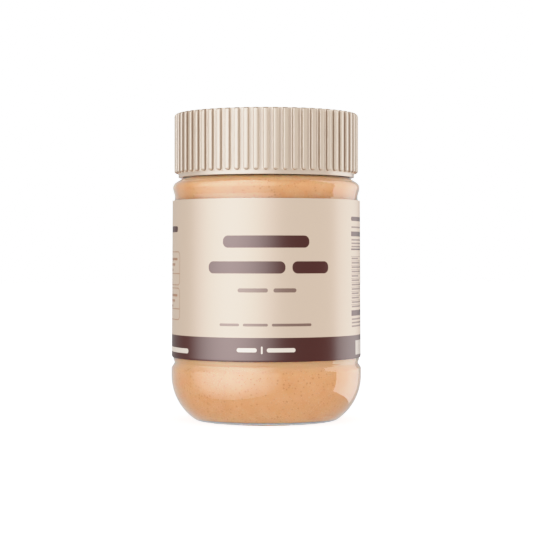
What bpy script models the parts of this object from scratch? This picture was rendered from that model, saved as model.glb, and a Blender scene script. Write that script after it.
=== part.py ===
"""Peanut butter jar: a clear PET jar full of peanut butter, with a wrap-round label and a ribbed screw cap.

Lengths are metres. The origin is the middle of the base, +Z is up and the front of the label faces -Y.
"""

import math

import bmesh
import bpy
from mathutils import Matrix, Vector

MM = 0.001

# Whole jar
TOTAL_HEIGHT = 115.7 * MM
BODY_RADIUS = 36.0 * MM
WALL = 0.8 * MM
CLEARANCE = 0.3 * MM
ROUND_STEPS = 40
OUTSIDE_TOLERANCE = 0.1 * MM
INSIDE_TOLERANCE = 0.25 * MM
MERGE_DISTANCE = 0.00001

# Cap
CAP_BOTTOM = 91.5 * MM
CAP_RADIUS = 33.3 * MM
CAP_BORE_RADIUS = 31.7 * MM
CAP_TOP_THICKNESS = 1.6 * MM
CAP_RECESS_RADIUS = 29.4 * MM
CAP_RECESS_DEPTH = 0.5 * MM
CAP_RECESS_SLOPE = 1.0 * MM
CAP_EDGE_BEVEL = 0.5 * MM
CAP_RIM_BEVEL = 0.2 * MM
CAP_STEPS = 60

# Grip ribs: round bars sunk into the cap's side, which bend inwards over its top edge
RIB_COUNT = 60
RIB_REACH = 34.75 * MM
RIB_RADIUS = 1.08 * MM
RIB_BOTTOM = 93.3 * MM
RIB_TOP = TOTAL_HEIGHT - 0.05 * MM
RIB_BEND = 0.4 * MM
RIB_END_RADIUS = 32.4 * MM
RIB_ROUND_END = [math.radians(35), math.radians(90)]

# Neck and shoulder of the jar
NECK_RADIUS = 31.0 * MM
NECK_FOOT = 91.75 * MM
NECK_ROUNDING = 0.5 * MM
LIP_HEIGHT = TOTAL_HEIGHT - CAP_TOP_THICKNESS - CLEARANCE
SHOULDER_RADIUS = 35.8 * MM
SHOULDER_HEIGHT = 88.8 * MM
SHOULDER_ROUNDING = 2.5 * MM

# Groove above the label
UPPER_GROOVE_RADIUS = 34.66 * MM
UPPER_GROOVE_TOP = 84.7 * MM
UPPER_GROOVE_BOTTOM = 83.5 * MM
UPPER_GROOVE_ROUNDING = 1.2 * MM

# Label, a sleeve that widens a little downwards
LABEL_TOP = 82.85 * MM
LABEL_BOTTOM = 23.9 * MM
LABEL_TOP_RADIUS = 35.53 * MM
LABEL_BOTTOM_RADIUS = 35.85 * MM
LABEL_THICKNESS = 0.3 * MM
PANEL_MARGIN = 0.9 * MM

# Groove below the label
LOWER_GROOVE_RADIUS = 34.75 * MM
LOWER_GROOVE_HEIGHT = 21.5 * MM
LOWER_GROOVE_ROUNDING = 0.8 * MM

# Lower bulge, round heel and foot ring
BULGE_TOP = 19.85 * MM
BULGE_ROUNDING = 1.0 * MM
HEEL_HEIGHT = 6.5 * MM
HEEL_ROUNDING = 20.0 * MM
FOOT_OUTER_RADIUS = 26.2 * MM
FOOT_OUTER_ROUNDING = 2.4 * MM
FOOT_INNER_RADIUS = 22.8 * MM
FOOT_INNER_ROUNDING = 2.0 * MM
BASE_EDGE_RADIUS = 19.5 * MM
BASE_EDGE_ROUNDING = 4.0 * MM
BASE_RISE = 2.8 * MM

# Peanut butter, filled into the neck
FILL_HEIGHT = 105.0 * MM
FILL_EDGE_ROUNDING = 1.0 * MM

# Colours, as linear red, green and blue
PET_COLOUR = (0.95, 0.95, 0.93)
SPREAD_COLOUR = (0.62, 0.36, 0.17)
LABEL_COLOUR = (0.74, 0.64, 0.53)
CAP_COLOUR = (0.70, 0.60, 0.49)


def clear_scene():
    for obj in list(bpy.data.objects):
        bpy.data.objects.remove(obj, do_unlink=True)


def new_collection(name):
    collection = bpy.data.collections.new(name)
    bpy.context.scene.collection.children.link(collection)
    return collection


def principled(name, colour, roughness, **settings):
    """A material with one Principled BSDF."""
    material = bpy.data.materials.new(name)
    material.use_nodes = True
    shader = material.node_tree.nodes["Principled BSDF"]
    shader.inputs["Base Color"].default_value = (*colour, 1.0)
    shader.inputs["Roughness"].default_value = roughness
    shader.inputs["Metallic"].default_value = 0.0
    for socket, value in settings.items():
        shader.inputs[socket.replace("_", " ")].default_value = value
    return material


def corner_arc(before, corner, after, tolerance):
    """Points of one corner: the corner itself, or the arc that rounds it, with chords as near as the tolerance."""
    here = Vector(corner[:2])
    back = (Vector(before[:2]) - here).normalized()
    ahead = (Vector(after[:2]) - here).normalized()
    rounding = corner[2]
    turn = math.pi - back.angle(ahead)
    if rounding == 0:
        return [here]
    start = here + back * rounding * math.tan(turn / 2)
    middle = here + (back + ahead).normalized() * rounding / math.cos(turn / 2)
    widest_step = 2 * math.acos(max(1 - tolerance / rounding, 0))
    steps = math.ceil(turn / widest_step)
    leftwards = back.x * ahead.y - back.y * ahead.x < 0
    step = turn / steps if leftwards else -turn / steps
    arm = start - middle
    return [middle + Matrix.Rotation(i * step, 2) @ arm for i in range(steps + 1)]


def rounded(corners, tolerance=OUTSIDE_TOLERANCE):
    """The outline through corners of (radius, height, rounding), as points."""
    points = [Vector(corners[0][:2])]
    for before, corner, after in zip(corners, corners[1:], corners[2:]):
        points += corner_arc(before, corner, after, tolerance)
    points.append(Vector(corners[-1][:2]))
    return points


def inset(corners, distance):
    """The same corners moved into the jar by the distance. The outline runs down its outer side."""
    moved = []
    last = len(corners) - 1
    for i, (radius, height, rounding) in enumerate(corners):
        here = Vector((radius, height))
        first_run = here - Vector(corners[i - 1][:2]) if i else None
        second_run = Vector(corners[i + 1][:2]) - here if i < last else None
        runs = [run.normalized() for run in (first_run, second_run) if run]
        inward = [Vector((run.y, -run.x)) for run in runs]
        bisector = sum(inward, Vector((0, 0))).normalized()
        place = here + bisector * distance / bisector.dot(inward[0])
        if rounding:
            bulges = runs[0].x * runs[-1].y - runs[0].y * runs[-1].x < 0
            rounding = max(rounding - distance, 0) if bulges else rounding + distance
        moved.append((place.x, place.y, rounding))
    return moved


def turned(name, points, steps, closed=False):
    """A profile at +X, turned about Z by a Screw modifier."""
    shape = bmesh.new()
    verts = [shape.verts.new((point[0], 0, point[1])) for point in points]
    for first, second in zip(verts, verts[1:]):
        shape.edges.new((first, second))
    if closed:
        shape.edges.new((verts[-1], verts[0]))
    mesh = bpy.data.meshes.new(name)
    shape.to_mesh(mesh)
    shape.free()
    obj = bpy.data.objects.new(name, mesh)
    screw = obj.modifiers.new("Turn", "SCREW")
    screw.angle = math.tau
    screw.steps = steps
    screw.render_steps = steps
    screw.use_merge_vertices = True
    screw.merge_threshold = MERGE_DISTANCE
    return obj


def apply_modifiers(obj):
    graph = bpy.context.evaluated_depsgraph_get()
    mesh = bpy.data.meshes.new_from_object(obj.evaluated_get(graph))
    obj.modifiers.clear()
    obj.data = mesh


def jar_corners():
    """Outer side of the jar from the lip down to the middle of the base."""
    carried = LABEL_THICKNESS + CLEARANCE
    return [
        (NECK_RADIUS, LIP_HEIGHT, 0),
        (NECK_RADIUS, NECK_FOOT, NECK_ROUNDING),
        (SHOULDER_RADIUS, SHOULDER_HEIGHT, SHOULDER_ROUNDING),
        (UPPER_GROOVE_RADIUS, UPPER_GROOVE_TOP, UPPER_GROOVE_ROUNDING),
        (UPPER_GROOVE_RADIUS, UPPER_GROOVE_BOTTOM, 0),
        (LABEL_TOP_RADIUS - carried, LABEL_TOP, 0),
        (LABEL_BOTTOM_RADIUS - carried, LABEL_BOTTOM - PANEL_MARGIN, 0),
        (LOWER_GROOVE_RADIUS, LOWER_GROOVE_HEIGHT, LOWER_GROOVE_ROUNDING),
        (BODY_RADIUS, BULGE_TOP, BULGE_ROUNDING),
        (BODY_RADIUS, HEEL_HEIGHT, HEEL_ROUNDING),
        (FOOT_OUTER_RADIUS, 0, FOOT_OUTER_ROUNDING),
        (FOOT_INNER_RADIUS, 0, FOOT_INNER_ROUNDING),
        (BASE_EDGE_RADIUS, BASE_RISE, BASE_EDGE_ROUNDING),
        (0, BASE_RISE, 0),
    ]


def make_jar():
    outside = jar_corners()
    inside = inset(outside, WALL)
    points = rounded(inside, INSIDE_TOLERANCE)[::-1] + rounded(outside)
    return turned("jar", points, ROUND_STEPS)


def make_peanut_butter():
    below_neck = inset(jar_corners(), WALL + CLEARANCE)[1:]
    filled_radius = NECK_RADIUS - WALL - CLEARANCE
    top = [(0, FILL_HEIGHT, 0), (filled_radius, FILL_HEIGHT, FILL_EDGE_ROUNDING)]
    return turned("peanut_butter", rounded(top + below_neck, INSIDE_TOLERANCE), ROUND_STEPS)


def make_label():
    ring = [
        (LABEL_TOP_RADIUS - LABEL_THICKNESS, LABEL_TOP),
        (LABEL_TOP_RADIUS, LABEL_TOP),
        (LABEL_BOTTOM_RADIUS, LABEL_BOTTOM),
        (LABEL_BOTTOM_RADIUS - LABEL_THICKNESS, LABEL_BOTTOM),
    ]
    return turned("label", ring, ROUND_STEPS, closed=True)


def rib_route():
    """Points of (radius, height, share of full thickness), from the rib's round foot to its end in the cap."""
    line = RIB_REACH - RIB_RADIUS
    bend_start = RIB_TOP - RIB_RADIUS - RIB_BEND
    route = []
    for angle in RIB_ROUND_END:
        route.append((line, RIB_BOTTOM + RIB_RADIUS * (1 - math.cos(angle)), math.sin(angle)))
    for angle in (0, math.pi / 4, math.pi / 2):
        inward = RIB_BEND * (1 - math.cos(angle))
        route.append((line - inward, bend_start + RIB_BEND * math.sin(angle), 1))
    route.append((RIB_END_RADIUS, bend_start + RIB_BEND, 1))
    return route


def make_rib():
    """One rib at +X, a mesh made from a tapered curve."""
    curve = bpy.data.curves.new("cap_rib", "CURVE")
    curve.dimensions = "3D"
    curve.bevel_depth = RIB_RADIUS
    curve.bevel_resolution = 2
    curve.use_fill_caps = True
    route = rib_route()
    spline = curve.splines.new("POLY")
    spline.points.add(len(route) - 1)
    for point, (radius, height, thickness) in zip(spline.points, route):
        point.co = (radius, 0, height, 1)
        point.radius = thickness
    guide = bpy.data.objects.new("cap_rib_guide", curve)
    bpy.context.scene.collection.objects.link(guide)
    graph = bpy.context.evaluated_depsgraph_get()
    mesh = bpy.data.meshes.new_from_object(guide.evaluated_get(graph))
    bpy.data.objects.remove(guide, do_unlink=True)
    shape = bmesh.new()
    shape.from_mesh(mesh)
    bmesh.ops.remove_doubles(shape, verts=shape.verts, dist=MERGE_DISTANCE)
    bmesh.ops.recalc_face_normals(shape, faces=shape.faces)
    shape.to_mesh(mesh)
    shape.free()
    return mesh


def make_cap():
    """A hollow cap with a shallow recess in its top, and the ribs that a Boolean fuses to it."""
    recess_floor = TOTAL_HEIGHT - CAP_RECESS_DEPTH
    ceiling = TOTAL_HEIGHT - CAP_TOP_THICKNESS
    outline = [
        (0, recess_floor),
        (CAP_RECESS_RADIUS - CAP_RECESS_SLOPE, recess_floor),
        (CAP_RECESS_RADIUS, TOTAL_HEIGHT),
        (CAP_RADIUS - CAP_EDGE_BEVEL, TOTAL_HEIGHT),
        (CAP_RADIUS, TOTAL_HEIGHT - CAP_EDGE_BEVEL),
        (CAP_RADIUS, CAP_BOTTOM + CAP_RIM_BEVEL),
        (CAP_RADIUS - CAP_RIM_BEVEL, CAP_BOTTOM),
        (CAP_BORE_RADIUS, CAP_BOTTOM),
        (CAP_BORE_RADIUS, ceiling),
        (0, ceiling),
    ]
    cap = turned("cap", outline, CAP_STEPS)
    ribs = new_collection("cap_ribs")
    rib_mesh = make_rib()
    for i in range(RIB_COUNT):
        rib = bpy.data.objects.new("cap_rib", rib_mesh)
        angle = math.tau * i / RIB_COUNT - math.pi / 2
        rib.rotation_euler.z = angle
        ribs.objects.link(rib)
    fuse = cap.modifiers.new("Fuse ribs", "BOOLEAN")
    fuse.operation = "UNION"
    fuse.operand_type = "COLLECTION"
    fuse.collection = ribs
    return cap, ribs


def main():
    clear_scene()
    parts = new_collection("peanut_butter_jar")
    clear_pet = principled("Clear PET", PET_COLOUR, 0.04, IOR=1.57, Alpha=0.35)
    spread = principled("Peanut butter", SPREAD_COLOUR, 0.45)
    paper = principled("Beige label", LABEL_COLOUR, 0.4)
    plastic = principled("Beige plastic", CAP_COLOUR, 0.4)
    cap, ribs = make_cap()
    pieces = [
        (make_jar(), clear_pet),
        (make_peanut_butter(), spread),
        (make_label(), paper),
        (cap, plastic),
    ]
    for obj, material in pieces:
        parts.objects.link(obj)
    apply_modifiers(cap)
    for rib in list(ribs.objects):
        bpy.data.objects.remove(rib, do_unlink=True)
    bpy.data.collections.remove(ribs)
    for obj, material in pieces:
        obj.data.materials.clear()
        obj.data.materials.append(material)


main()
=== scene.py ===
"""Peanut butter jar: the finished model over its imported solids, with a studio and a camera.

Lengths are metres. +Z is up, the jar's axis is the Z axis and the front of the label faces -Y.
"""

import math

import bmesh
import bpy
from mathutils import Matrix, Vector


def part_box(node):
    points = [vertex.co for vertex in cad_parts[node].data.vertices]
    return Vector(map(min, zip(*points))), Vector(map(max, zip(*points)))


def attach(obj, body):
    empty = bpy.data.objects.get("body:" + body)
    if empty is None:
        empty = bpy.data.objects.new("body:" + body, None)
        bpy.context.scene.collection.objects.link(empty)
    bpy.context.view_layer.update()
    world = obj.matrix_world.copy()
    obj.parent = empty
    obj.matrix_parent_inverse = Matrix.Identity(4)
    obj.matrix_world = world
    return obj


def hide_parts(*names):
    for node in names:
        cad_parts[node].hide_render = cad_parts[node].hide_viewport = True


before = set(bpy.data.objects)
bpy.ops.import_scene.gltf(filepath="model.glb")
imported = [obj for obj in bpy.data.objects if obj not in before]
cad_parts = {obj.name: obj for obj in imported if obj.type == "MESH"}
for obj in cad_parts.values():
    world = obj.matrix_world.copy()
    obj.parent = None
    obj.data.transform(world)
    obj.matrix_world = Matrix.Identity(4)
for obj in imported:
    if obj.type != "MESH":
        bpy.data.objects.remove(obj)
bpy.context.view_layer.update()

MM = 0.001

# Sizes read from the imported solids
JAR_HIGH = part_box("jar")[1]
CAP_LOW, CAP_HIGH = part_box("cap")
LABEL_LOW, LABEL_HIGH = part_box("label")
FILL_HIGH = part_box("peanut_butter")[1]
BODY_RADIUS = JAR_HIGH[0]
LIP_HEIGHT = JAR_HIGH[2]
CAP_BOTTOM = CAP_LOW[2]
CAP_TOP = CAP_HIGH[2]
LABEL_BOTTOM = LABEL_LOW[2]
LABEL_TOP = LABEL_HIGH[2]
FILL_HEIGHT = FILL_HIGH[2]

# Wall of the jar
WALL = 0.8 * MM
ROUND_STEPS = 180
OUTLINE_TOLERANCE = 0.005 * MM
MERGE_DISTANCE = 0.002 * MM
SHARP_ANGLE = math.radians(40)
NECK_RADIUS = 31.0 * MM
NECK_FOOT = 91.75 * MM
NECK_ROUNDING = 0.5 * MM
SHOULDER_RADIUS = 35.8 * MM
SHOULDER_HEIGHT = 88.8 * MM
SHOULDER_ROUNDING = 2.5 * MM
UPPER_GROOVE_RADIUS = 34.66 * MM
UPPER_GROOVE_TOP = 84.7 * MM
UPPER_GROOVE_BOTTOM = 83.5 * MM
UPPER_GROOVE_ROUNDING = 1.2 * MM
LOWER_GROOVE_RADIUS = 34.75 * MM
LOWER_GROOVE_HEIGHT = 21.7 * MM
LOWER_GROOVE_ROUNDING = 0.8 * MM
BULGE_TOP = 19.85 * MM
BULGE_ROUNDING = 0.8 * MM
HEEL_HEIGHT = 6.5 * MM
HEEL_ROUNDING = 20.0 * MM
FOOT_OUTER_RADIUS = 26.8 * MM
FOOT_OUTER_ROUNDING = 2.4 * MM
FOOT_INNER_RADIUS = 22.8 * MM
FOOT_INNER_ROUNDING = 2.0 * MM
BASE_EDGE_RADIUS = 19.5 * MM
BASE_EDGE_ROUNDING = 4.0 * MM
BASE_RISE = 2.8 * MM
GATE_RADIUS = 2.2 * MM
GATE_HEIGHT = 0.5 * MM
GATE_ROUNDING = 0.4 * MM

# Places of corners in the wall's outline, counted from the lip down
UPPER_GROOVE_CORNERS = slice(3, 5)
CORNERS_ABOVE_PANEL = 6
LOWER_GROOVE_CORNERS = slice(7, 9)
FOOT_CORNERS = (10, 11)

# Inner side of the wall, where it doesn't follow the outer side
INNER_UPPER_GROOVE_RADIUS = 34.05 * MM
INNER_LOWER_GROOVE_RADIUS = 34.15 * MM
INNER_GROOVE_ROUNDING = 3.0 * MM
INNER_BULGE_TOP = 18.9 * MM
FOOT_THICKENING = 0.6 * MM

# Peanut butter, which reaches a little into the wall
SUNK_IN_WALL = 0.05 * MM
FILL_EDGE_ROUNDING = 1.0 * MM

# Label
LABEL_TOP_RADIUS = 35.53 * MM
LABEL_BOTTOM_RADIUS = 35.85 * MM
LABEL_THICKNESS = 0.12 * MM
LABEL_EDGE_TUCK = 0.18 * MM
LABEL_EDGE_RUN = 0.8 * MM
LABEL_EDGE_ROWS = 6
LABEL_STAND_OFF = 0.6 * MM
PANEL_MARGIN = 0.9 * MM
LABEL_STEPS = 240
LABEL_OVERLAP = math.radians(14)
LABEL_RAMP = math.radians(2)
LABEL_LIFT = 0.135 * MM
SEAM_ANGLE = math.radians(90)

# Cap
CAP_SHARP_ANGLE = math.radians(60)
CAP_RADIUS = 33.3 * MM
CAP_BORE_RADIUS = 31.7 * MM
CAP_TOP_THICKNESS = 1.6 * MM
CAP_EDGE_ROUNDING = 0.5 * MM
CAP_RIM_ROUNDING = 0.15 * MM
CAP_RIM_LIFT = 0.12 * MM
CAP_RECESS_RADIUS = 29.4 * MM
CAP_RECESS_SLOPE = 1.0 * MM
CAP_RECESS_DEPTH = 0.5 * MM
CAP_RECESS_ROUNDING = 0.4 * MM
CAP_GATE_RADIUS = 1.1 * MM
CAP_GATE_DEPTH = 0.15 * MM

# Grip ribs
RIB_COUNT = 60
FIRST_RIB_ANGLE = math.radians(-90.2)
RIB_CORNER_STEPS = 4
RIB_FILLET_STEPS = 3
STEPS_PER_RIB = 2 * (RIB_CORNER_STEPS + RIB_FILLET_STEPS + 3)
RIB_TURN = math.tau / RIB_COUNT
RIB_REACH = 34.85 * MM
RIB_PITCH = RIB_TURN * CAP_RADIUS
RIB_HALF_WIDTH = 0.9 * MM
RIB_CORNER = 0.5 * MM
RIB_FILLET = 0.4 * MM
RIB_BOTTOM = 93.05 * MM
RIB_TOP_ROUNDING = 1.3 * MM
RIB_END_RINGS = 7
BAND_MARGIN = 0.05 * MM


def corner_arc(before, corner, after):
    """Points of one corner: the corner itself, or the arc that rounds it."""
    here = Vector(corner[:2])
    back = (Vector(before[:2]) - here).normalized()
    ahead = (Vector(after[:2]) - here).normalized()
    rounding = corner[2]
    if rounding == 0:
        return [here]
    turn = math.pi - back.angle(ahead)
    start = here + back * rounding * math.tan(turn / 2)
    middle = here + (back + ahead).normalized() * rounding / math.cos(turn / 2)
    widest_step = 2 * math.acos(max(1 - OUTLINE_TOLERANCE / rounding, 0))
    steps = max(math.ceil(turn / widest_step), 3)
    leftwards = back.x * ahead.y - back.y * ahead.x < 0
    step = turn / steps if leftwards else -turn / steps
    arm = start - middle
    return [middle + Matrix.Rotation(i * step, 2) @ arm for i in range(steps + 1)]


def rounded(corners):
    """The outline through corners of (radius, height, rounding), as points."""
    points = [Vector(corners[0][:2])]
    for before, corner, after in zip(corners, corners[1:], corners[2:]):
        points += corner_arc(before, corner, after)
    points.append(Vector(corners[-1][:2]))
    return points


def inset(corners, distance):
    """The same corners moved into the jar by the distance. The outline runs down its outer side."""
    moved = []
    last = len(corners) - 1
    for i, (radius, height, rounding) in enumerate(corners):
        here = Vector((radius, height))
        first_run = here - Vector(corners[i - 1][:2]) if i else None
        second_run = Vector(corners[i + 1][:2]) - here if i < last else None
        runs = [run.normalized() for run in (first_run, second_run) if run]
        inward = [Vector((run.y, -run.x)) for run in runs]
        bisector = sum(inward, Vector((0, 0))).normalized()
        place = here + bisector * distance / bisector.dot(inward[0])
        if rounding:
            bulges = runs[0].x * runs[-1].y - runs[0].y * runs[-1].x < 0
            rounding = max(rounding - distance, 0) if bulges else rounding + distance
        moved.append((place.x, place.y, rounding))
    return moved


def spun(outline):
    """A bmesh of the outline, spun once round the Z axis."""
    shape = bmesh.new()
    verts = [shape.verts.new((point[0], 0, point[1])) for point in outline]
    edges = [shape.edges.new(pair) for pair in zip(verts, verts[1:])]
    bmesh.ops.spin(
        shape, geom=verts + edges, cent=(0, 0, 0), axis=(0, 0, 1),
        angle=math.tau, steps=ROUND_STEPS, use_merge=True)
    bmesh.ops.remove_doubles(shape, verts=shape.verts, dist=MERGE_DISTANCE)
    bmesh.ops.recalc_face_normals(shape, faces=shape.faces)
    return shape


def finished(name, shape, material, sharp_angle=SHARP_ANGLE):
    """The bmesh as a smooth-shaded object at the origin, which rides on the root."""
    for face in shape.faces:
        face.smooth = True
    for edge in shape.edges:
        if edge.is_manifold:
            edge.smooth = edge.calc_face_angle() < sharp_angle
    mesh = bpy.data.meshes.new(name)
    shape.to_mesh(mesh)
    shape.free()
    mesh.materials.append(material)
    piece = bpy.data.objects.new(name, mesh)
    bpy.context.scene.collection.objects.link(piece)
    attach(piece, "root")
    return piece


def wall_corners():
    """Outer side of the plain wall, from the lip down to the middle of the base."""
    return [
        (NECK_RADIUS, LIP_HEIGHT, 0),
        (NECK_RADIUS, NECK_FOOT, NECK_ROUNDING),
        (SHOULDER_RADIUS, SHOULDER_HEIGHT, SHOULDER_ROUNDING),
        (UPPER_GROOVE_RADIUS, UPPER_GROOVE_TOP, UPPER_GROOVE_ROUNDING),
        (UPPER_GROOVE_RADIUS, UPPER_GROOVE_BOTTOM, 0),
        (LABEL_TOP_RADIUS - LABEL_STAND_OFF, LABEL_TOP, 0),
        (LABEL_BOTTOM_RADIUS - LABEL_STAND_OFF, LABEL_BOTTOM - PANEL_MARGIN, 0),
        (LOWER_GROOVE_RADIUS, LOWER_GROOVE_HEIGHT, LOWER_GROOVE_ROUNDING),
        (BODY_RADIUS, BULGE_TOP, BULGE_ROUNDING),
        (BODY_RADIUS, HEEL_HEIGHT, HEEL_ROUNDING),
        (FOOT_OUTER_RADIUS, 0, FOOT_OUTER_ROUNDING),
        (FOOT_INNER_RADIUS, 0, FOOT_INNER_ROUNDING),
        (BASE_EDGE_RADIUS, BASE_RISE, BASE_EDGE_ROUNDING),
        (0, BASE_RISE, 0),
    ]


def inner_corners(depth):
    """Inner side of the wall at a depth from the outer: smoother at the grooves, raised at the foot.

    The lowest corners are changed first, so that the places of the others still hold.
    """
    corners = inset(wall_corners(), depth)
    thinner = WALL - depth
    for i in FOOT_CORNERS:
        radius, height, rounding = corners[i]
        corners[i] = (radius, height + FOOT_THICKENING, rounding)
    corners[LOWER_GROOVE_CORNERS] = [
        (INNER_LOWER_GROOVE_RADIUS + thinner, LOWER_GROOVE_HEIGHT, INNER_GROOVE_ROUNDING),
        (BODY_RADIUS - depth, INNER_BULGE_TOP, INNER_GROOVE_ROUNDING),
    ]
    corners[UPPER_GROOVE_CORNERS] = [
        (INNER_UPPER_GROOVE_RADIUS + thinner, UPPER_GROOVE_BOTTOM, INNER_GROOVE_ROUNDING),
    ]
    return corners


def outer_corners():
    """The plain wall with a panel raised to the label's back, and the gate mark under the base."""
    plain = wall_corners()
    step = LABEL_STAND_OFF - LABEL_THICKNESS
    panel = [
        (LABEL_TOP_RADIUS - LABEL_THICKNESS, LABEL_TOP - step, 0),
        (LABEL_BOTTOM_RADIUS - LABEL_THICKNESS, LABEL_BOTTOM + LABEL_EDGE_RUN, 0),
        (LABEL_BOTTOM_RADIUS - LABEL_STAND_OFF, LABEL_BOTTOM, 0),
    ]
    gate = [
        (GATE_RADIUS + GATE_HEIGHT, BASE_RISE, GATE_ROUNDING),
        (GATE_RADIUS, BASE_RISE - GATE_HEIGHT, 0),
        (0, BASE_RISE - GATE_HEIGHT, 0),
    ]
    return plain[:CORNERS_ABOVE_PANEL] + panel + plain[CORNERS_ABOVE_PANEL:-1] + gate


def make_jar(material):
    points = rounded(inner_corners(WALL))[::-1] + rounded(outer_corners())
    return finished("jar_wall", spun(points), material)


def make_contents(material):
    depth = WALL - SUNK_IN_WALL
    top = [(0, FILL_HEIGHT, 0), (NECK_RADIUS - depth, FILL_HEIGHT, FILL_EDGE_ROUNDING)]
    points = rounded(top + inner_corners(depth)[1:])
    return finished("peanut_butter_fill", spun(points), material)


def label_outline():
    """Points down the label's outer side: straight, then tucked in at its lower edge."""
    points = [Vector((LABEL_TOP_RADIUS, LABEL_TOP))]
    for i in range(LABEL_EDGE_ROWS + 1):
        share = i / LABEL_EDGE_ROWS
        radius = LABEL_BOTTOM_RADIUS - LABEL_EDGE_TUCK * share ** 2
        points.append(Vector((radius, LABEL_BOTTOM + LABEL_EDGE_RUN * (1 - share))))
    return points


def make_label(material):
    """A strip wound once round the jar, whose end laps over its start at the back."""
    outline = label_outline()
    rows = len(outline) - 1
    whole = math.tau + LABEL_OVERLAP
    shape = bmesh.new()
    bmesh.ops.create_grid(shape, x_segments=LABEL_STEPS, y_segments=rows, size=1)
    for vert in shape.verts:
        turn = whole * (vert.co.x + 1) / 2
        radius, height = outline[round(rows * (1 - vert.co.y) / 2)]
        ramp = min(max((turn - math.tau) / LABEL_RAMP + 1, 0), 1)
        radius += LABEL_LIFT * (3 - 2 * ramp) * ramp ** 2
        angle = SEAM_ANGLE + turn
        vert.co = (radius * math.cos(angle), radius * math.sin(angle), height)
    bmesh.ops.recalc_face_normals(shape, faces=shape.faces)
    bmesh.ops.solidify(shape, geom=shape.faces[:], thickness=LABEL_THICKNESS)
    return finished("wrap_label", shape, material)


def rib_section(column):
    """Place on a rib's outline, as (sideways, share of height), for a column counted from its crest."""
    full = RIB_REACH - CAP_RADIUS
    core = RIB_HALF_WIDTH - RIB_CORNER
    outline = [(0, full)]
    for i in range(RIB_CORNER_STEPS + 1):
        angle = math.pi / 2 * i / RIB_CORNER_STEPS
        across = core + RIB_CORNER * math.sin(angle)
        outline.append((across, full - RIB_CORNER * (1 - math.cos(angle))))
    for i in range(RIB_FILLET_STEPS + 1):
        angle = math.pi / 2 * i / RIB_FILLET_STEPS
        across = RIB_HALF_WIDTH + RIB_FILLET * (1 - math.cos(angle))
        outline.append((across, RIB_FILLET * (1 - math.sin(angle))))
    outline.append((RIB_PITCH / 2, 0))
    sideways, height = outline[abs(column)]
    return math.copysign(sideways, column), height / full


def rib_share(height):
    """How far a rib is grown at a height: its share of full width, and its crest's radius."""
    if height < RIB_BOTTOM or height > CAP_TOP + MERGE_DISTANCE:
        return 0, CAP_RADIUS
    into_end = min((height - RIB_BOTTOM) / RIB_HALF_WIDTH, 1)
    width = math.sqrt(1 - (1 - into_end) ** 2)
    crest = CAP_RADIUS + (RIB_REACH - CAP_RADIUS) * width
    over_top = max(height - (CAP_TOP - RIB_TOP_ROUNDING), 0)
    drop = RIB_TOP_ROUNDING - math.sqrt(max(RIB_TOP_ROUNDING ** 2 - over_top ** 2, 0))
    return width, crest - drop


def cap_outline():
    """Outline of the cap between two ribs, from the middle of its top round to the middle of its ceiling.

    Two points on the flat recess floor keep it evenly shaded. The side has a point at each height
    where the ends of the ribs need a ring.
    """
    recess_floor = CAP_TOP - CAP_RECESS_DEPTH
    ceiling = CAP_TOP - CAP_TOP_THICKNESS
    top = rounded([
        (0, recess_floor - CAP_GATE_DEPTH, 0),
        (CAP_GATE_RADIUS, recess_floor - CAP_GATE_DEPTH, 0),
        (CAP_GATE_RADIUS + CAP_GATE_DEPTH, recess_floor, 0),
        (2 * CAP_GATE_RADIUS, recess_floor, 0),
        (CAP_RECESS_RADIUS - 2 * CAP_RECESS_SLOPE, recess_floor, 0),
        (CAP_RECESS_RADIUS - CAP_RECESS_SLOPE, recess_floor, CAP_RECESS_ROUNDING),
        (CAP_RECESS_RADIUS, CAP_TOP, CAP_RECESS_ROUNDING),
        (CAP_RADIUS - CAP_EDGE_ROUNDING, CAP_TOP, 0),
    ])
    side = []
    for i in range(1, RIB_END_RINGS + 1):
        angle = math.pi / 2 * i / RIB_END_RINGS
        height = CAP_TOP - RIB_TOP_ROUNDING * (1 - math.cos(angle))
        into_edge = max(height - CAP_TOP + CAP_EDGE_ROUNDING, 0)
        outward = math.sqrt(max(CAP_EDGE_ROUNDING ** 2 - into_edge ** 2, 0))
        side.append(Vector((CAP_RADIUS - CAP_EDGE_ROUNDING + outward, height)))
    for i in range(RIB_END_RINGS + 1):
        angle = math.pi / 2 * (1 - i / RIB_END_RINGS)
        side.append(Vector((CAP_RADIUS, RIB_BOTTOM + RIB_HALF_WIDTH * (1 - math.cos(angle)))))
    rim = rounded([
        (CAP_RADIUS, RIB_BOTTOM - BAND_MARGIN, 0),
        (CAP_RADIUS, CAP_BOTTOM + CAP_RIM_LIFT, CAP_RIM_ROUNDING),
        (CAP_BORE_RADIUS, CAP_BOTTOM + CAP_RIM_LIFT, CAP_RIM_ROUNDING),
        (CAP_BORE_RADIUS, ceiling, 0),
        (0, ceiling, 0),
    ])
    return top + side + rim


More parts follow.
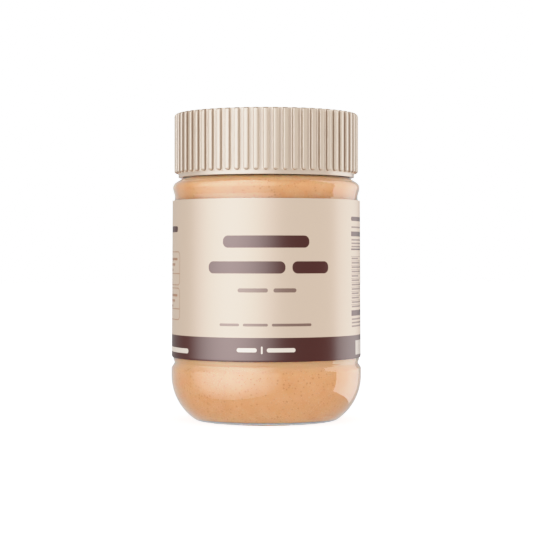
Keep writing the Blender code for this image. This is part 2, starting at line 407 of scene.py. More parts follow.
def make_cap(material):
    """One rib's sector of the cap, spun, drawn out into the rib and then repeated all round."""
    outline = cap_outline()
    shape = bmesh.new()
    verts = [shape.verts.new((point[0], 0, point[1])) for point in outline]
    edges = [shape.edges.new(pair) for pair in zip(verts, verts[1:])]
    first = FIRST_RIB_ANGLE - RIB_TURN / 2
    bmesh.ops.rotate(shape, verts=verts, cent=(0, 0, 0), matrix=Matrix.Rotation(first, 3, "Z"))
    bmesh.ops.spin(
        shape, geom=verts + edges, cent=(0, 0, 0), axis=(0, 0, 1), angle=RIB_TURN, steps=STEPS_PER_RIB)
    for vert in shape.verts:
        wall_radius = vert.co.xy.length
        width, crest = rib_share(vert.co.z)
        if width == 0 or wall_radius < CAP_RADIUS - CAP_EDGE_ROUNDING - MERGE_DISTANCE:
            continue
        turn = math.atan2(vert.co.y, vert.co.x) - first
        column = round(turn / RIB_TURN * STEPS_PER_RIB) - STEPS_PER_RIB // 2
        sideways, share = rib_section(column)
        if abs(column) < STEPS_PER_RIB // 2:
            sideways *= width
        radius = wall_radius + (crest - wall_radius) * share
        angle = FIRST_RIB_ANGLE + sideways / CAP_RADIUS
        vert.co.x = radius * math.cos(angle)
        vert.co.y = radius * math.sin(angle)
    sector = shape.verts[:] + shape.edges[:] + shape.faces[:]
    for i in range(1, RIB_COUNT):
        copied = bmesh.ops.duplicate(shape, geom=sector)["geom"]
        moved = [item for item in copied if isinstance(item, bmesh.types.BMVert)]
        turned = Matrix.Rotation(i * RIB_TURN, 3, "Z")
        bmesh.ops.rotate(shape, verts=moved, cent=(0, 0, 0), matrix=turned)
    bmesh.ops.remove_doubles(shape, verts=shape.verts, dist=MERGE_DISTANCE)
    bmesh.ops.recalc_face_normals(shape, faces=shape.faces)
    return finished("ribbed_cap", shape, material, CAP_SHARP_ANGLE)


# Sockets of a Mix node that mixes colours
MIX_SHARE = 0
MIX_FIRST = 6
MIX_SECOND = 7
MIX_RESULT = 2


def new_material(name, **values):
    """A material whose Principled sockets take the values given. Returns it, its tree and its shader."""
    material = bpy.data.materials.new(name)
    material.use_nodes = True
    tree = material.node_tree
    shader = tree.nodes["Principled BSDF"]
    for socket, value in values.items():
        shader.inputs[socket.replace("_", " ")].default_value = value
    return material, tree, shader


def add_node(tree, kind, *values, **settings):
    """A node with its settings, whose first inputs take the values or are linked to the sockets given."""
    made = tree.nodes.new(kind)
    for name, value in settings.items():
        setattr(made, name, value)
    for socket, value in zip(made.inputs, values):
        if isinstance(value, bpy.types.NodeSocket):
            tree.links.new(value, socket)
        elif value is not None:
            socket.default_value = value
    return made


def sums(tree, operation, *values):
    """The result of a Math node."""
    return add_node(tree, "ShaderNodeMath", *values, operation=operation).outputs[0]


def vectors(tree, operation, *values):
    """The vector that a Vector Math node gives."""
    return add_node(tree, "ShaderNodeVectorMath", *values, operation=operation).outputs[0]


def object_place(tree):
    """Place on the piece, in metres from the middle of the jar's base."""
    return add_node(tree, "ShaderNodeTexCoord").outputs["Object"]


def noise(tree, place, scale, detail=2.0):
    """Noise of the given scale, in features for each metre."""
    made = add_node(tree, "ShaderNodeTexNoise", place)
    made.inputs["Scale"].default_value = scale
    made.inputs["Detail"].default_value = detail
    return made.outputs["Fac"]


def remap(tree, value, from_low, from_high, to_low, to_high):
    """The value carried from one range to another, and held at its ends."""
    return add_node(tree, "ShaderNodeMapRange", value, from_low, from_high, to_low, to_high).outputs[0]


def smooth_remap(tree, value, from_low, from_high, to_low, to_high):
    """The same as remap, with a soft start and end."""
    made = add_node(tree, "ShaderNodeMapRange", value, from_low, from_high, to_low, to_high)
    made.interpolation_type = "SMOOTHSTEP"
    return made.outputs[0]


def mixed(tree, share, first, second):
    """The second colour over the first, by the share."""
    made = add_node(tree, "ShaderNodeMix", data_type="RGBA")
    for index, value in ((MIX_SHARE, share), (MIX_FIRST, first), (MIX_SECOND, second)):
        if isinstance(value, bpy.types.NodeSocket):
            tree.links.new(value, made.inputs[index])
        else:
            made.inputs[index].default_value = value
    return made.outputs[MIX_RESULT]


def add_bump(tree, shader, height, distance):
    """Relief on the surface, of the given height in metres."""
    bump = add_node(tree, "ShaderNodeBump")
    bump.inputs["Strength"].default_value = 1.0
    bump.inputs["Distance"].default_value = distance
    tree.links.new(height, bump.inputs["Height"])
    tree.links.new(bump.outputs[0], shader.inputs["Normal"])


# Colours of the materials, as linear red, green and blue
CAP_PALE = (0.63, 0.51, 0.40, 1)
CAP_DEEP = (0.59, 0.47, 0.365, 1)
# Painted light in the hollows between the ribs, and a painted highlight along their edges
CAP_HOLLOW_PAINTED_LIGHT = (0.645, 0.525, 0.42, 1)
CAP_HOLLOW_EDGE_PAINTED_HIGHLIGHT = (0.86, 0.73, 0.60, 1)
# Painted shade at the roots of the ribs
CAP_ROOT_PAINTED_SHADE = (0.24, 0.155, 0.10, 1)
SPREAD_PALE = (0.94, 0.505, 0.245, 1)
SPREAD_DEEP = (0.895, 0.445, 0.195, 1)
# Painted light in the lower groove
SPREAD_GROOVE_PAINTED_LIGHT = (0.98, 0.55, 0.28, 1)
# Painted light under the cap
SPREAD_UNDER_CAP_PAINTED_LIGHT = (1.0, 0.60, 0.275, 1)
# Painted shade at the neck's gap under the cap
SPREAD_GAP_PAINTED_SHADE = (0.30, 0.19, 0.12, 1)
# Painted reflection of the pale floor at the foot
SPREAD_FOOT_PAINTED_REFLECTION = (0.75, 0.79, 0.84, 1)
SPECK_DARK = (0.66, 0.25, 0.085, 1)
SPECK_PALE = (0.85, 0.58, 0.34, 1)
PAPER = (0.662, 0.508, 0.386, 1)
BROWN_INK = (0.0864, 0.0165, 0.0108, 1)
GREY_BROWN_INK = (0.22, 0.13, 0.10, 1)
ORANGE_BROWN_INK = (0.40, 0.19, 0.09, 1)
CREAM_INK = (0.80, 0.70, 0.60, 1)
PET_TINT = (0.99, 0.99, 0.98, 1)

# Cap's plastic, with its zones of painted light and painted shade as shares of the way from the cap's side
# out to the ribs' crests
CAP_IOR = 1.49
CAP_COAT = 0.4
CAP_COAT_ROUGHNESS = 0.14
CAP_ROUGHNESS_RANGE = (0.13, 0.21)
CAP_CLOUD_SCALE = 90
CAP_GRAIN_SCALE = 3500
CAP_GRAIN_RANGE = (0.3, 0.7)
CAP_GRAIN_HEIGHT = 0.006 * MM
HOLLOW_HIGHLIGHT_START = (0, 0.04)
HOLLOW_PAINTED_LIGHT_END = (0.08, 0.24)
ROOT_SHADE_START = (0.18, 0.36)
ROOT_SHADE_END = (0.6, 0.85)
ROOT_SHADE_SHARE = 0.85

# Peanut butter, with the heights over which its colour changes for painted light, painted shade and a
# painted reflection
SPREAD_ROUGHNESS = 0.45
SPREAD_IOR = 1.46
SPREAD_SCATTER = 0.6
SPREAD_SCATTER_RADIUS = (1.0, 0.5, 0.25)
SPREAD_SCATTER_DEPTH = 3 * MM
MOTTLE_SCALE = 220
MOTTLE_DETAIL = 4
MOTTLE_RANGE = (0.3, 0.7)
MOTTLE_HEIGHT = 0.05 * MM
DARK_SPECKS = (950, 0.0, 0.38)
DARK_SPECK_SHARE = 0.55
PALE_SPECKS = (1100, 0.05, 0.4)
PALE_SPECK_SHARE = 0.35
PALE_SPECK_SHIFT = (0.01, 0.02, 0.03)
SPECK_EDGE = (-0.06, 0.08)
GROOVE_MIDDLE = 22.3 * MM
GROOVE_LIGHT_FADE = (2.4 * MM, 0.8 * MM)
UNDER_CAP_LIGHT_FADE = (89.0 * MM, 90.5 * MM)
GAP_SHADE_FADE = (90.95 * MM, 91.15 * MM)
FOOT_REFLECTION_FADE = (1.53 * MM, 1.42 * MM)

# Label's film
LABEL_ROUGHNESS = 0.30
LABEL_IOR = 1.5
LABEL_SPECULAR = 0.92
PAPER_GRAIN_SCALE = 2600
PAPER_GRAIN_DETAIL = 3
PAPER_GRAIN_INK = 0.08
PAPER_GRAIN_HEIGHT = 0.002 * MM

# Clear wall
PET_IOR = 1.25
PET_SURFACE_IOR = 1.57
PET_ROUGHNESS_RANGE = (0.01, 0.04)
PET_COAT_ROUGHNESS = 0.02
PET_SHEEN = 0.5
PET_SHEEN_ROUGHNESS = 0.3
PET_HAZE_SCALE = 300
PET_WAVE_SCALE = 60
PET_WAVE_DETAIL = 1
PET_WAVE_HEIGHT = 0.02 * MM

# The print, in millimetres across the label from the middle of its front, and up from the jar's foot.
# Each block is (low across, high across, low up, high up).
PRINT_SOFTNESS = 0.05
BAND_TOP = 32.6
TITLE_BLOCKS = [(-16.3, 16.2, 65.0, 69.4), (-22.4, 7.0, 55.7, 60.1), (9.6, 24.5, 55.7, 60.1)]
SUBTITLE_BLOCKS = [(-10.5, 0.6, 48.9, 50.4), (2.6, 11.1, 48.9, 50.4)]
CLAIM_BLOCKS = [(-17.6, -9.9, 36.7, 37.7), (-8.5, 0.6, 36.7, 37.7), (2.0, 17.0, 36.7, 37.7)]
BAND_BLOCKS = [
    (-10.8, -3.4, 27.4, 28.9),
    (-1.9, -1.3, 26.8, 29.5),
    (0.2, 10.7, 27.4, 28.9),
    (-60, -33.1, 26.2, 28.0),
]
BLOCK_ROUNDING = 1.0
TITLE_ROUNDING = 2.0

# Row of upright bars at the right of the band
BAR_COUNT = 8
BAR_PITCH = 2.0
FIRST_BAR = (42.7, 44.0)
BAR_HEIGHTS = (25.3, 30.6)

# Panel on the label's right, with a heading, heavy rules and rows of marks
FACTS_LEFT = 38.7
FACTS_RIGHT = 72.0
FACTS_HEADING = (38.7, 60.0, 75.0, 76.6)
FACTS_RULES = [(69.3, 71.1), (64.2, 64.8), (39.8, 41.9)]
FACTS_SMALL_MARKS = [73.0, 68.3, 67.0, 65.8, 38.9, 37.6, 36.3]
FACTS_ROWS_TOP = 61.9
FACTS_ROWS = 12
FACTS_PITCH = 1.62
FACTS_RULE_THICKNESS = 0.18
FACTS_MARK_THICKNESS = 0.6
FACTS_MARGIN = 0.3
FACTS_SMALL_MARKS_END = 66.0
FACTS_SHORTEST_NAME = 8
FACTS_NAME_VARIATION = 7
FACTS_NAME_WAVE = 2.4
FACTS_AMOUNT_LENGTH = 4

# Two outlined panels on the label's left
SIDE_LEFT = -72.0
SIDE_RIGHT = -39.9
SIDE_PANELS = [(51.1, 63.7), (38.2, 50.2)]
SIDE_HEADING = (-72.0, -42.1, 70.9, 73.1)
SIDE_ROUNDING = 1.8
SIDE_LINE = 0.3
SIDE_DIVIDER_SHARE = 1 / 3
SIDE_MARK_ROWS = 3
SIDE_MARK_DROP = 2.4
SIDE_MARK_PITCH = 2
SIDE_MARK_THICKNESS = 0.9
SIDE_MARK_LEFT = -69.0
SIDE_MARK_RIGHT = -42.4
SIDE_MARK_SHORTENING = 3


def new_group(name, inputs, output):
    """A shader node group with its inputs, as (name, socket kind), and one float output."""
    group = bpy.data.node_groups.new(name, "ShaderNodeTree")
    for socket, kind in inputs:
        group.interface.new_socket(socket, in_out="INPUT", socket_type=kind)
    group.interface.new_socket(output, in_out="OUTPUT", socket_type="NodeSocketFloat")
    start = group.nodes.new("NodeGroupInput")
    end = group.nodes.new("NodeGroupOutput")
    return group, start.outputs, end.inputs


def block_group():
    """Node group that is 1 inside a block with round corners, and 0 outside it."""
    vector, number = "NodeSocketVector", "NodeSocketFloat"
    inputs = [("Place", vector), ("Centre", vector), ("Half size", vector), ("Rounding", number)]
    group, given, wanted = new_group("print_block", inputs, "Ink")
    away = vectors(group, "ABSOLUTE", vectors(group, "SUBTRACT", given["Place"], given["Centre"]))
    rounding = add_node(group, "ShaderNodeCombineXYZ", given["Rounding"], given["Rounding"]).outputs[0]
    core = vectors(group, "SUBTRACT", given["Half size"], rounding)
    beyond = vectors(group, "MAXIMUM", vectors(group, "SUBTRACT", away, core), (0, 0, 0))
    length = add_node(group, "ShaderNodeVectorMath", beyond, operation="LENGTH").outputs["Value"]
    distance = sums(group, "SUBTRACT", length, given["Rounding"])
    ink = remap(group, distance, PRINT_SOFTNESS, -PRINT_SOFTNESS, 0, 1)
    group.links.new(ink, wanted["Ink"])
    return group


def block(tree, group, place, low_across, high_across, low_up, high_up, rounding=0.0):
    """The mask of one printed block."""
    made = add_node(tree, "ShaderNodeGroup", node_tree=group)
    tree.links.new(place, made.inputs["Place"])
    made.inputs["Centre"].default_value = ((low_across + high_across) / 2, (low_up + high_up) / 2, 0)
    half = ((high_across - low_across) / 2, (high_up - low_up) / 2)
    made.inputs["Half size"].default_value = (*half, 0)
    made.inputs["Rounding"].default_value = max(min(rounding, *half), PRINT_SOFTNESS)
    return made.outputs["Ink"]


def blocks(tree, group, place, ends, rounding=0.0):
    """The masks of several printed blocks."""
    return [block(tree, group, place, *block_ends, rounding) for block_ends in ends]


def union(tree, masks):
    """One mask of all that the masks cover."""
    whole = masks[0]
    for mask in masks[1:]:
        whole = sums(tree, "MAXIMUM", whole, mask)
    return whole


def label_place(tree):
    """Millimetres across the label from the middle of its front, and up from the jar's foot."""
    parts = add_node(tree, "ShaderNodeSeparateXYZ", object_place(tree)).outputs
    turn = sums(tree, "ARCTAN2", parts["X"], sums(tree, "MULTIPLY", parts["Y"], -1))
    across = sums(tree, "MULTIPLY", turn, LABEL_BOTTOM_RADIUS / MM)
    up = sums(tree, "MULTIPLY", parts["Z"], 1 / MM)
    return add_node(tree, "ShaderNodeCombineXYZ", across, up).outputs[0], up


def facts_masks(tree, group, place):
    """Rows of small marks of the panel on the label's right."""
    masks = []
    left = FACTS_LEFT + FACTS_MARGIN
    right = FACTS_RIGHT - FACTS_MARGIN
    amount_start = FACTS_RIGHT - FACTS_AMOUNT_LENGTH
    for high in FACTS_SMALL_MARKS:
        low = high - FACTS_MARK_THICKNESS
        masks.append(block(tree, group, place, left, FACTS_SMALL_MARKS_END, low, high))
    for i in range(FACTS_ROWS):
        up = FACTS_ROWS_TOP - i * FACTS_PITCH
        masks.append(block(tree, group, place, FACTS_LEFT, FACTS_RIGHT, up - FACTS_RULE_THICKNESS, up))
        longer = FACTS_NAME_VARIATION * math.sin(i * FACTS_NAME_WAVE) ** 2
        name_end = FACTS_LEFT + FACTS_SHORTEST_NAME + longer
        low = up - FACTS_PITCH + (FACTS_PITCH - FACTS_MARK_THICKNESS) / 2
        high = low + FACTS_MARK_THICKNESS
        ends = [(left, name_end, low, high), (amount_start, right, low, high)]
        masks += blocks(tree, group, place, ends, BLOCK_ROUNDING)
    return masks


def side_masks(tree, group, place):
    """Two panels drawn as rounded outlines, each with a dividing line and rows of small marks."""
    masks = []
    for low, high in SIDE_PANELS:
        outer = block(tree, group, place, SIDE_LEFT, SIDE_RIGHT, low, high, SIDE_ROUNDING)
        edge = (SIDE_LEFT + SIDE_LINE, SIDE_RIGHT - SIDE_LINE, low + SIDE_LINE, high - SIDE_LINE)
        inner = block(tree, group, place, *edge, SIDE_ROUNDING - SIDE_LINE)
        masks.append(sums(tree, "SUBTRACT", outer, inner))
        divider = low + (high - low) * SIDE_DIVIDER_SHARE
        masks.append(block(tree, group, place, SIDE_LEFT, SIDE_RIGHT, divider, divider + SIDE_LINE))
        for i in range(SIDE_MARK_ROWS):
            up = high - SIDE_MARK_DROP - SIDE_MARK_PITCH * i
            right = SIDE_MARK_RIGHT - SIDE_MARK_SHORTENING * i
            ends = (SIDE_MARK_LEFT, right, up - SIDE_MARK_THICKNESS, up)
            masks.append(block(tree, group, place, *ends, SIDE_MARK_THICKNESS / 2))
    return masks


def title_masks(tree, group, place):
    """The title, both panels' headings and the heavy rules."""
    rules = [(FACTS_LEFT, FACTS_RIGHT, low, high) for low, high in FACTS_RULES]
    masks = blocks(tree, group, place, TITLE_BLOCKS, TITLE_ROUNDING)
    masks += blocks(tree, group, place, [FACTS_HEADING, SIDE_HEADING], BLOCK_ROUNDING)
    return masks + blocks(tree, group, place, rules)


def band_masks(tree, group, place):
    """The pale blocks and the row of upright bars on the dark band."""
    left, right = FIRST_BAR
    bars = [(left + BAR_PITCH * i, right + BAR_PITCH * i, *BAR_HEIGHTS) for i in range(BAR_COUNT)]
    return blocks(tree, group, place, BAND_BLOCKS, BLOCK_ROUNDING) + blocks(tree, group, place, bars)


def label_material():
    """Satin printed film: a pale ground, a dark band and blocks of ink."""
    material, tree, shader = new_material(
        "printed_label", Roughness=LABEL_ROUGHNESS, IOR=LABEL_IOR, Specular_IOR_Level=LABEL_SPECULAR)
    group = block_group()
    place, up = label_place(tree)
    grain = noise(tree, object_place(tree), PAPER_GRAIN_SCALE, PAPER_GRAIN_DETAIL)
    colour = mixed(tree, remap(tree, grain, 0, 1, 0, PAPER_GRAIN_INK), PAPER, GREY_BROWN_INK)
    band = remap(tree, up, BAND_TOP + PRINT_SOFTNESS, BAND_TOP - PRINT_SOFTNESS, 0, 1)
    title = union(tree, title_masks(tree, group, place))
    colour = mixed(tree, sums(tree, "MAXIMUM", band, title), colour, BROWN_INK)
    thin = blocks(tree, group, place, SUBTITLE_BLOCKS + CLAIM_BLOCKS, BLOCK_ROUNDING)
    thin += facts_masks(tree, group, place)
    colour = mixed(tree, union(tree, thin), colour, GREY_BROWN_INK)
    colour = mixed(tree, union(tree, side_masks(tree, group, place)), colour, ORANGE_BROWN_INK)
    colour = mixed(tree, union(tree, band_masks(tree, group, place)), colour, CREAM_INK)
    tree.links.new(colour, shader.inputs["Base Color"])
    add_bump(tree, shader, grain, PAPER_GRAIN_HEIGHT)
    return material


def pet_material():
    """Clear blown PET, with the faint waviness of a blown wall.

    It bends light less than real PET does, and a coat gives it PET's reflections.
    """
    material, tree, shader = new_material(
        "clear_pet", Base_Color=PET_TINT, IOR=PET_IOR, Transmission_Weight=1.0, Coat_Weight=1.0,
        Coat_IOR=PET_SURFACE_IOR, Coat_Roughness=PET_COAT_ROUGHNESS, Sheen_Weight=PET_SHEEN,
        Sheen_Roughness=PET_SHEEN_ROUGHNESS)
    place = object_place(tree)
    rough = remap(tree, noise(tree, place, PET_HAZE_SCALE), 0, 1, *PET_ROUGHNESS_RANGE)
    tree.links.new(rough, shader.inputs["Roughness"])
    add_bump(tree, shader, noise(tree, place, PET_WAVE_SCALE, PET_WAVE_DETAIL), PET_WAVE_HEIGHT)
    return material


def specks(tree, place, cells, smallest, largest):
    """Round specks of uneven size, one in each cell of the given number for each metre."""
    dots = add_node(tree, "ShaderNodeTexVoronoi", place)
    dots.inputs["Scale"].default_value = cells
    chance = add_node(tree, "ShaderNodeSeparateColor", dots.outputs["Color"]).outputs[0]
    size = remap(tree, chance, 0, 1, smallest, largest)
    inside = sums(tree, "SUBTRACT", size, dots.outputs["Distance"])
    return remap(tree, inside, *SPECK_EDGE, 0, 1)


def spread_material():
    """Smooth peanut butter with fine dark and pale specks.

    Painted light makes it paler in the lower groove and under the cap, painted shade makes it dark at the
    neck's gap, and a painted reflection of the floor makes it pale grey at the foot.
    """
    material, tree, shader = new_material(
        "peanut_butter", Roughness=SPREAD_ROUGHNESS, IOR=SPREAD_IOR, Subsurface_Weight=SPREAD_SCATTER,
        Subsurface_Radius=SPREAD_SCATTER_RADIUS, Subsurface_Scale=SPREAD_SCATTER_DEPTH)
    place = object_place(tree)
    mottle = noise(tree, place, MOTTLE_SCALE, MOTTLE_DETAIL)
    colour = mixed(tree, remap(tree, mottle, *MOTTLE_RANGE, 0, 1), SPREAD_DEEP, SPREAD_PALE)
    dark = specks(tree, place, *DARK_SPECKS)
    pale = specks(tree, vectors(tree, "ADD", place, PALE_SPECK_SHIFT), *PALE_SPECKS)
    colour = mixed(tree, sums(tree, "MULTIPLY", pale, PALE_SPECK_SHARE), colour, SPECK_PALE)
    colour = mixed(tree, sums(tree, "MULTIPLY", dark, DARK_SPECK_SHARE), colour, SPECK_DARK)
    height = add_node(tree, "ShaderNodeSeparateXYZ", place).outputs["Z"]
    from_groove = sums(tree, "ABSOLUTE", sums(tree, "SUBTRACT", height, GROOVE_MIDDLE))
    # Painted light in the groove and under the cap, painted shade at the neck's gap, and a painted
    # reflection at the foot
    painted_zones = [
        (from_groove, GROOVE_LIGHT_FADE, SPREAD_GROOVE_PAINTED_LIGHT),
        (height, UNDER_CAP_LIGHT_FADE, SPREAD_UNDER_CAP_PAINTED_LIGHT),
        (height, GAP_SHADE_FADE, SPREAD_GAP_PAINTED_SHADE),
        (height, FOOT_REFLECTION_FADE, SPREAD_FOOT_PAINTED_REFLECTION),
    ]
    for measure, fade, painted_colour in painted_zones:
        colour = mixed(tree, smooth_remap(tree, measure, *fade, 0, 1), colour, painted_colour)
    tree.links.new(colour, shader.inputs["Base Color"])
    add_bump(tree, shader, mottle, MOTTLE_HEIGHT)
    return material


def cap_material():
    """Satin moulded plastic with a fine spark-eroded grain.

    Painted light makes the hollows between the ribs paler than their crests, with a painted highlight along
    their edges by the ribs, and painted shade darkens the roots of the ribs.
    """
    material, tree, shader = new_material(
        "cap_plastic", IOR=CAP_IOR, Specular_IOR_Level=1.0, Coat_Weight=CAP_COAT,
        Coat_Roughness=CAP_COAT_ROUGHNESS)
    place = object_place(tree)
    flat = vectors(tree, "MULTIPLY", place, (1, 1, 0))
    radius = add_node(tree, "ShaderNodeVectorMath", flat, operation="LENGTH").outputs["Value"]
    rise = remap(tree, radius, CAP_RADIUS, RIB_REACH, 0, 1)
    # Painted shade at the roots of the ribs
    past_start = smooth_remap(tree, rise, *ROOT_SHADE_START, 0, 1)
    before_end = smooth_remap(tree, rise, *ROOT_SHADE_END, 1, 0)
    root = sums(tree, "MULTIPLY", past_start, before_end)
    # Painted light in the hollows, rising to a painted highlight at their edges by the ribs
    hollow_light = smooth_remap(tree, rise, *HOLLOW_PAINTED_LIGHT_END, 1, 0)
    hollow_highlight = smooth_remap(tree, rise, *HOLLOW_HIGHLIGHT_START, 0, 1)
    hollow_painted_light = mixed(tree, hollow_highlight, CAP_HOLLOW_PAINTED_LIGHT, CAP_HOLLOW_EDGE_PAINTED_HIGHLIGHT)
    cloud = noise(tree, place, CAP_CLOUD_SCALE)
    grain = noise(tree, place, CAP_GRAIN_SCALE)
    colour = mixed(tree, hollow_light, mixed(tree, cloud, CAP_DEEP, CAP_PALE), hollow_painted_light)
    colour = mixed(tree, sums(tree, "MULTIPLY", root, ROOT_SHADE_SHARE), colour, CAP_ROOT_PAINTED_SHADE)
    tree.links.new(colour, shader.inputs["Base Color"])
    rough = remap(tree, grain, *CAP_GRAIN_RANGE, *CAP_ROUGHNESS_RANGE)
    tree.links.new(rough, shader.inputs["Roughness"])
    add_bump(tree, shader, grain, CAP_GRAIN_HEIGHT)
    return material


# Studio, with azimuths measured from the front, to the right as seen by the camera
LIGHT_DISTANCE = 0.9
KEY_AZIMUTH = math.radians(-42)
KEY_HALF_ANGLE = math.radians(60)
KEY_LOW = -0.74
KEY_HIGH = 4.5
KEY_RADIANCE = 4.65
KEY_FADE = (-0.08, 1, 1, 0.06)
KEY_LOWER_SHARE = 0.25
KEY_FADE_HEIGHT = 0.145
RIGHT_AZIMUTH = math.radians(120)
RIGHT_HALF_ANGLE = math.radians(28.5)
RIGHT_LOW = -0.37
RIGHT_HIGH = 1.8
RIGHT_RADIANCE = 2.2
RIGHT_FADE = (-0.26, 1, 1, 0.35)
RIGHT_UPPER_SHARE = 0.45
EVEN_LIGHT = 1.3
LEFT_SHARE = 0.89
BELOW_SHARE = 0.78
SEEN_LEVEL = (0.95, 0.93, 0.9, 1)
SEEN_BELOW = (0.50, 0.54, 0.60, 1)
MIRRORED_FRONT = 0.06
MIRRORED_BACK_LEFT = 0.42
MIRRORED_BACK_RIGHT = 0.36
MIRRORED_UPPER_LEFT = 0.65
WHITE_LIGHT = 1.6

# Changes in the surroundings, from start to end, along a ray's X (rightwards), Y (back) or Z (up)
BACK_LEFT_TO_RIGHT = (-0.3, 0.3)
BACKWARDS = (0.4, 0.96)
UPPER_LEFT_ASIDE = (-0.3, -0.5)
UPPER_LEFT_RISE = (0.35, 0.55)
UPPER_LEFT_BACK = (0.45, 0.3)
UPPER_LEFT_FRONT = (-0.25, 0.05)
EVEN_LEFT_TO_RIGHT = (-1, 0.5)
EVEN_BELOW_TO_LEVEL = (-1, 0)
SEEN_DOWNWARDS = (-0.15, -0.4)

# Tones and camera
TONE_CURVE = [(0.3, 0.3), (0.5, 0.49), (0.7, 0.655), (0.85, 0.765), (1.0, 0.84), (1.3, 0.93)]
CAMERA_DISTANCE = 633.5 * MM
CAMERA_HEIGHT = 62.1 * MM
CAMERA_SIDE = 0.1 * MM
CAMERA_DIP = math.radians(0.37)
CAMERA_LENS = 112.6
CAMERA_SENSOR = 36
COMBINED_CURVE = 3

# Floor
FLOOR_SIZE = 6.0
FLOOR_COLOUR = (0.9, 0.9, 0.92, 1)
FLOOR_ROUGHNESS = 0.8
FLOOR_GLOW = 0.8


def soft_box(name, azimuth, half_angle, low, high, radiance, both_ways, sideways, upwards):
    """A flat upright light, seen in reflections alone, that fades sideways and upwards or downwards.

    Each fade is (start, end, level at the start, level at the end). The sideways one runs from -1 to 1
    across the light, or both ways from 0 in its middle to 1, and the upwards one from 0 to 1.
    """
    data = bpy.data.lights.new(name, "AREA")
    data.shape = "RECTANGLE"
    data.size = 2 * LIGHT_DISTANCE * math.tan(half_angle)
    data.size_y = high - low
    data.energy = radiance * math.pi * data.size * data.size_y
    data.use_nodes = True
    tree = data.node_tree
    place = add_node(tree, "ShaderNodeNewGeometry").outputs["Parametric"]
    parts = add_node(tree, "ShaderNodeSeparateXYZ", place).outputs
    aside = sums(tree, "MULTIPLY_ADD", parts["X"], 2.0, -1.0)
    if both_ways:
        aside = sums(tree, "ABSOLUTE", aside)
    across = smooth_remap(tree, aside, *sideways)
    along = smooth_remap(tree, parts["Y"], *upwards)
    tree.links.new(sums(tree, "MULTIPLY", across, along), tree.nodes["Emission"].inputs["Strength"])
    light = bpy.data.objects.new(name, data)
    bpy.context.scene.collection.objects.link(light)
    light.location.x = LIGHT_DISTANCE * math.sin(azimuth)
    light.location.y = -LIGHT_DISTANCE * math.cos(azimuth)
    light.location.z = (low + high) / 2
    light.rotation_euler = (math.pi / 2, 0, azimuth)
    light.visible_camera = False
    light.visible_diffuse = False
    light.visible_transmission = False


def make_world():
    """White for the camera, an even light for all that scatters, and dim surroundings in reflections.

    The reflections are brighter towards the back, and in a patch at the upper left. The even light is
    a little weaker from the left and from below. Through the clear wall it is nearly white, and grey below.
    """
    world = bpy.data.worlds.new("studio")
    bpy.context.scene.world = world
    world.use_nodes = True
    world.cycles.sampling_method = "NONE"
    tree = world.node_tree
    background = tree.nodes["Background"]
    rays = add_node(tree, "ShaderNodeLightPath").outputs
    direction = add_node(tree, "ShaderNodeTexCoord").outputs["Generated"]
    parts = add_node(tree, "ShaderNodeSeparateXYZ", direction).outputs
    back_level = remap(tree, parts["X"], *BACK_LEFT_TO_RIGHT, MIRRORED_BACK_LEFT, MIRRORED_BACK_RIGHT)
    backwards = remap(tree, parts["Y"], *BACKWARDS, 0, 1)
    mirrored = sums(tree, "MULTIPLY_ADD", back_level, backwards, MIRRORED_FRONT)
    patch_edges = [
        ("Z", UPPER_LEFT_RISE),
        ("Y", UPPER_LEFT_BACK),
        ("Y", UPPER_LEFT_FRONT),
    ]
    upper_left = smooth_remap(tree, parts["X"], *UPPER_LEFT_ASIDE, 0, MIRRORED_UPPER_LEFT)
    for axis, edge in patch_edges:
        upper_left = sums(tree, "MULTIPLY", upper_left, smooth_remap(tree, parts[axis], *edge, 0, 1))
    mirrored = sums(tree, "ADD", mirrored, upper_left)
    even = remap(tree, parts["X"], *EVEN_LEFT_TO_RIGHT, LEFT_SHARE * EVEN_LIGHT, EVEN_LIGHT)
    below = remap(tree, parts["Z"], *EVEN_BELOW_TO_LEVEL, BELOW_SHARE, 1)
    even = sums(tree, "MULTIPLY", even, below)
    seen = mixed(tree, remap(tree, parts["Z"], *SEEN_DOWNWARDS, 0, 1), SEEN_LEVEL, SEEN_BELOW)
    colour = mixed(tree, rays["Is Transmission Ray"], mirrored, seen)
    scattered = sums(tree, "MINIMUM", rays["Diffuse Depth"], 1)
    colour = mixed(tree, scattered, colour, even)
    colour = mixed(tree, rays["Is Camera Ray"], colour, (WHITE_LIGHT, WHITE_LIGHT, WHITE_LIGHT, 1))
    tree.links.new(colour, background.inputs["Color"])


def set_tones():
    """A gentle shoulder for the highlights, as in a photograph."""
    view = bpy.context.scene.view_settings
    view.view_transform = "Standard"
    view.use_curve_mapping = True
    mapping = view.curve_mapping
    mapping.white_level = (WHITE_LIGHT, WHITE_LIGHT, WHITE_LIGHT)
    curve = mapping.curves[COMBINED_CURVE]
    for light, shown in TONE_CURVE:
        curve.points.new(light / WHITE_LIGHT, shown)
    mapping.update()


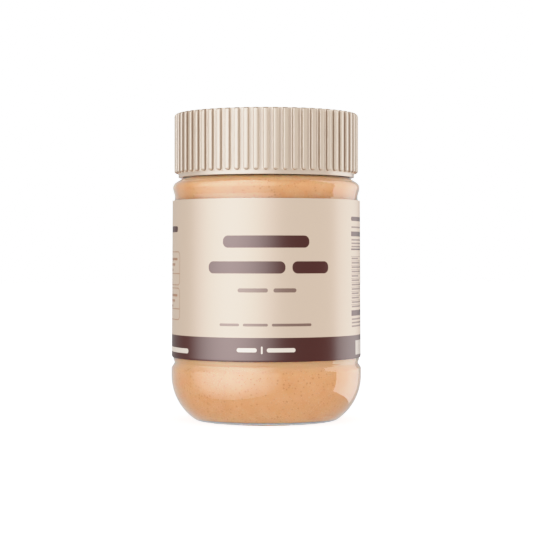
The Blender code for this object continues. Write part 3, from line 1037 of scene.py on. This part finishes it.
def make_floor():
    """A pale floor, seen by the camera alone."""
    shape = bmesh.new()
    bmesh.ops.create_grid(shape, x_segments=1, y_segments=1, size=FLOOR_SIZE / 2)
    mesh = bpy.data.meshes.new("floor")
    shape.to_mesh(mesh)
    shape.free()
    floor = bpy.data.objects.new("floor", mesh)
    bpy.context.scene.collection.objects.link(floor)
    material, _, _ = new_material(
        "pale_floor", Base_Color=FLOOR_COLOUR, Roughness=FLOOR_ROUGHNESS, Specular_IOR_Level=0.0,
        Emission_Color=(1, 1, 1, 1), Emission_Strength=FLOOR_GLOW)
    mesh.materials.append(material)
    floor.visible_glossy = False
    floor.visible_diffuse = False
    floor.visible_transmission = False
    floor.visible_shadow = False


def make_camera():
    data = bpy.data.cameras.new("camera")
    data.lens = CAMERA_LENS
    data.sensor_width = CAMERA_SENSOR
    camera = bpy.data.objects.new("camera", data)
    bpy.context.scene.collection.objects.link(camera)
    camera.location = (CAMERA_SIDE, -CAMERA_DISTANCE, CAMERA_HEIGHT)
    camera.rotation_euler = (math.pi / 2 - CAMERA_DIP, 0, 0)
    bpy.context.scene.camera = camera


def make_studio():
    """Tones, surroundings, floor, camera and the two lights."""
    set_tones()
    make_world()
    make_floor()
    make_camera()
    soft_box(
        "key_light", KEY_AZIMUTH, KEY_HALF_ANGLE, KEY_LOW, KEY_HIGH, KEY_RADIANCE, True, KEY_FADE,
        (0, KEY_FADE_HEIGHT, KEY_LOWER_SHARE, 1))
    soft_box(
        "right_light", RIGHT_AZIMUTH, RIGHT_HALF_ANGLE, RIGHT_LOW, RIGHT_HIGH, RIGHT_RADIANCE,
        False, RIGHT_FADE, (0, 1, 1, RIGHT_UPPER_SHARE))


def make_jar_set():
    """The four pieces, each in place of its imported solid."""
    pieces = [
        (make_jar(pet_material()), "jar", "clear_pet"),
        (make_contents(spread_material()), "peanut_butter", "peanut_butter"),
        (make_label(label_material()), "label", "label"),
        (make_cap(cap_material()), "cap", "cap_plastic"),
    ]
    for piece, node, slot in pieces:
        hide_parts(node)


make_jar_set()
make_studio()
